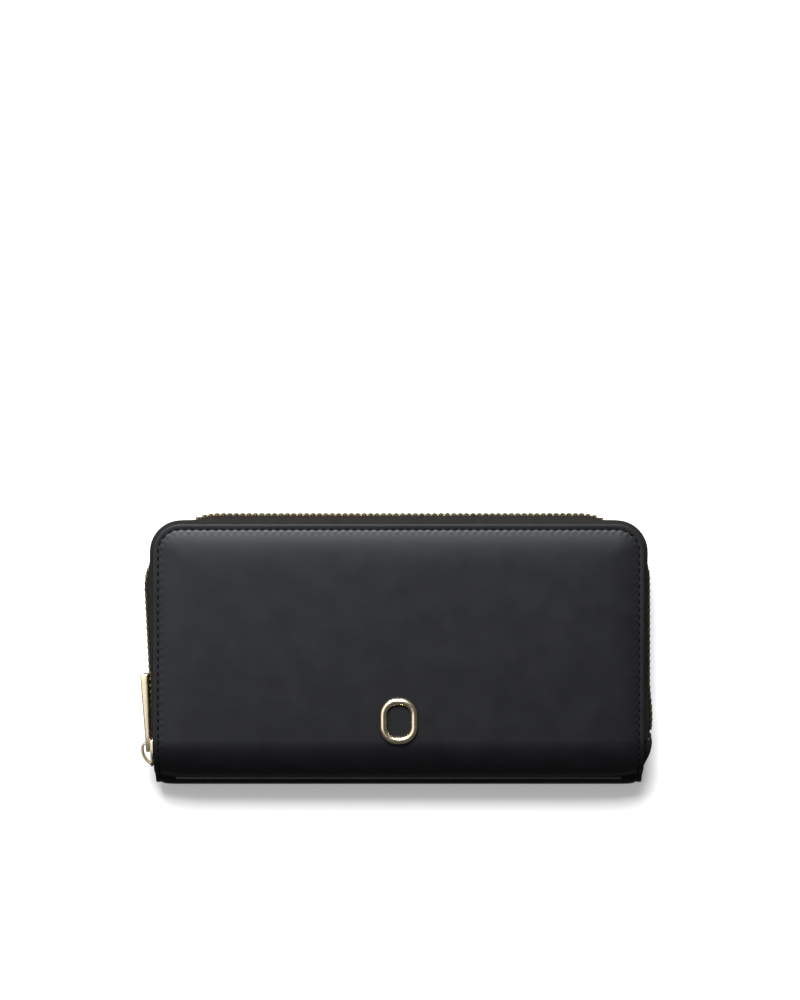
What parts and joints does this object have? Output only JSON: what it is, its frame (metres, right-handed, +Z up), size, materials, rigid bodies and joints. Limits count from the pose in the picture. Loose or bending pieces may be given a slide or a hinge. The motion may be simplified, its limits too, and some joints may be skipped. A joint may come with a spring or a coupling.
{
  "type": "zip-around long wallet",
  "caption": "Long wallet closed by a metal zip round three sides, with puffed stitched leather covers, a folded spine, a raised metal ring emblem and a coin pocket inside.",
  "frame": {"origin": "middle of the back cover's outer face, which the wallet lies on", "axes": "+X along the wallet from its slider end to its zip-end tab, +Y from the folded spine to the long zip side, +Z up from the back cover to the front cover with the emblem"},
  "size_m": [0.1975, 0.1052, 0.0269],
  "materials": {
    "outer_leather": "black, smooth, satin",
    "inner_leather": "black, matt",
    "lining_cloth": "black woven lining",
    "padding_foam": "dark grey soft foam sheet",
    "stiffener_board": "brown bonded board",
    "thread": "black polyester thread",
    "zip_tape": "dark brown-black woven tape",
    "zip_teeth": "antique brass, brushed tops",
    "pale_gold": "polished pale gold plating",
    "steel": "plain steel washer"
  },
  "bodies": {
    "root": {"back_cover_leather": "outer_leather", "back_cover_padding": "padding_foam", "back_cover_board": "stiffener_board", "back_cover_lining": "lining_cloth", "back_card_pocket_1": "inner_leather", "back_card_pocket_2": "inner_leather", "back_card_pocket_3": "inner_leather", "back_cover_stitching": "thread", "back_zip_tape": "zip_tape", "back_zip_teeth": "zip_teeth", "spine_leather_back": "outer_leather", "gusset_back_left": "inner_leather", "gusset_back_right": "inner_leather"},
    "centre": {"coin_pocket_back_wall": "inner_leather", "coin_pocket_front_wall": "inner_leather", "coin_pocket_bottom_fold": "lining_cloth", "coin_pocket_seam_left": "lining_cloth", "coin_pocket_seam_right": "lining_cloth", "coin_zip_tape_back": "zip_tape", "coin_zip_tape_front": "zip_tape", "coin_zip_teeth": "zip_teeth", "coin_zip_stop_left": "zip_teeth", "coin_zip_stop_right": "zip_teeth", "spine_lining": "lining_cloth", "spine_leather_front": "outer_leather", "gusset_front_left": "inner_leather", "gusset_front_right": "inner_leather", "zip_end_tab": "outer_leather", "zip_bottom_stop": "zip_teeth"},
    "front_cover": {"front_cover_leather": "outer_leather", "front_cover_padding": "padding_foam", "front_cover_board": "stiffener_board", "front_cover_lining": "lining_cloth", "front_card_pocket_1": "inner_leather", "front_card_pocket_2": "inner_leather", "front_card_pocket_3": "inner_leather", "front_cover_stitching": "thread", "front_zip_tape": "zip_tape", "front_zip_teeth": "zip_teeth", "front_zip_tape_end": "zip_tape", "emblem": "pale_gold", "emblem_backing": "steel"},
    "slider": {"slider_body": "pale_gold"},
    "pull_tab": {"pull_tab": "pale_gold"},
    "coin_slider": {"coin_slider_body": "pale_gold"},
    "coin_pull_tab": {"coin_pull_tab": "pale_gold"}
  },
  "joints": [
    {"name": "centre_hinge", "type": "hinge", "parent": "root", "child": "centre", "pos_m": [0, -0.045, 0.005], "axis": [1, 0, 0], "range_deg": [0, 40], "deforming": ["spine_leather_back", "gusset_back_left", "gusset_back_right"]},
    {"name": "front_hinge", "type": "hinge", "parent": "centre", "child": "front_cover", "pos_m": [0, -0.045, 0.019], "axis": [1, 0, 0], "range_deg": [0, 40], "deforming": ["spine_leather_front", "gusset_front_left", "gusset_front_right", "zip_end_tab", "front_zip_tape_end"]},
    {"name": "slider_slide", "type": "slide", "parent": "root", "child": "slider", "axis": [-0.0515, 0.9987, 0], "range_m": [0, 0.057], "deforming": ["back_zip_teeth", "front_zip_teeth"]},
    {"name": "pull_tab_hinge", "type": "hinge", "parent": "slider", "child": "pull_tab", "pos_m": [-0.09712, -0.03772, 0.012], "axis": [0, 0, 1], "range_deg": [0, 150]},
    {"name": "coin_slider_slide", "type": "slide", "parent": "centre", "child": "coin_slider", "axis": [-1, 0, 0], "range_m": [0, 0.124], "deforming": ["coin_zip_teeth"]},
    {"name": "coin_pull_tab_hinge", "type": "hinge", "parent": "coin_slider", "child": "coin_pull_tab", "pos_m": [0.0615, 0.04508, 0.012], "axis": [0, 0, -1], "range_deg": [0, 15]}
  ],
  "couplings": [
    {"joint": "front_hinge", "follows": "centre_hinge", "ratio": 1}
  ]
}
